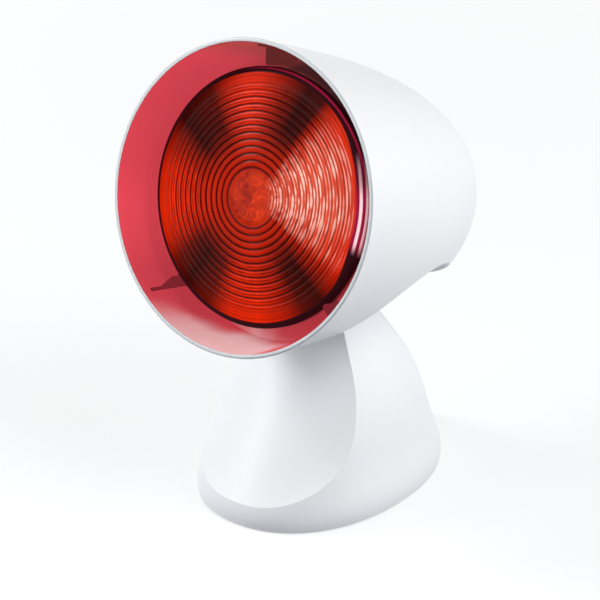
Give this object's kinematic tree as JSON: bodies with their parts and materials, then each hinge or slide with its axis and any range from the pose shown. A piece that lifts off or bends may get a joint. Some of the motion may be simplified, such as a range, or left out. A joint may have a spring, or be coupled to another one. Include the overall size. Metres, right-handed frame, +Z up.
{
  "type": "infrared heat lamp",
  "caption": "Table-top infrared heat lamp: white bell-shaped head with a red ringed reflector bulb, tilting on a weighted oval base with a flat front facet.",
  "frame": {"origin": "on the plane the feet rest on, under the middle of the whole lamp at its rest tilt", "axes": "+Z up, -Y the way the lamp shines, X along the tilt axle"},
  "size_m": [0.1468, 0.1819, 0.2385],
  "materials": {
    "base_shell": "satin",
    "front_panel": "polished",
    "base_plate": "matt",
    "rubber_feet": "matt",
    "base_screws": "zinc plated",
    "ballast_weight": "as cast",
    "terminal_block": "matt",
    "cable_bush": "matt",
    "pivot_axle": "turned",
    "axle_caps": "satin",
    "detent_plates": "stamped",
    "hood_shell": "polished",
    "front_rim": "polished",
    "centring_ribs": "satin",
    "underside_saddle": "satin",
    "detent_balls": "polished",
    "detent_spring": "drawn wire",
    "rear_vent_cap": "satin",
    "heat_shield": "spun",
    "holder_bracket": "zinc plated",
    "bracket_screws": "zinc plated",
    "lampholder": "unglazed",
    "holder_sleeve": "drawn",
    "holder_contact": "stamped",
    "bulb_reflector": "mirrored inside",
    "bulb_lens": "pressed rings, red",
    "bulb_cap": "drawn",
    "bulb_insulator": "vitreous",
    "bulb_contact": "soldered",
    "filament_mount": "clear",
    "bulb_filament": "coiled wire"
  },
  "bodies": {
    "base": {"base_shell": "base_shell", "front_panel": "front_panel", "base_plate": "base_plate", "rubber_feet": "rubber_feet", "base_screws": "base_screws", "ballast_weight": "ballast_weight", "terminal_block": "terminal_block", "cable_bush": "cable_bush", "pivot_axle": "pivot_axle", "axle_caps": "axle_caps", "detent_plates": "detent_plates"},
    "head": {"hood_shell": "hood_shell", "front_rim": "front_rim", "centring_ribs": "centring_ribs", "underside_saddle": "underside_saddle", "detent_balls": "detent_balls", "detent_spring": "detent_spring", "rear_vent_cap": "rear_vent_cap", "heat_shield": "heat_shield", "holder_bracket": "holder_bracket", "bracket_screws": "bracket_screws", "lampholder": "lampholder", "holder_sleeve": "holder_sleeve", "holder_contact": "holder_contact"},
    "bulb_advance_carrier": {"bulb_contact": "bulb_contact"},
    "bulb": {"bulb_reflector": "bulb_reflector", "bulb_lens": "bulb_lens", "bulb_cap": "bulb_cap", "bulb_insulator": "bulb_insulator", "filament_mount": "filament_mount", "bulb_filament": "bulb_filament"}
  },
  "joints": [
    {"name": "head_tilt", "type": "hinge", "parent": "base", "child": "head", "pos_m": [0, -0.00632, 0.0975], "axis": [-1, 0, 0], "range_deg": [-18, 18]},
    {"name": "bulb_advance", "type": "slide", "parent": "head", "child": "bulb_advance_carrier", "axis": [0, -0.9511, 0.309], "range_m": [0, 0.0109]},
    {"name": "bulb_turn", "type": "hinge", "parent": "bulb_advance_carrier", "child": "bulb", "pos_m": [0, 0.02669, 0.1381], "axis": [0, -0.9511, 0.309], "range_deg": [0, 1080]}
  ],
  "couplings": [
    {"joint": "bulb_advance", "follows": "bulb_turn", "m_per_rad": 0.00057773}
  ]
}
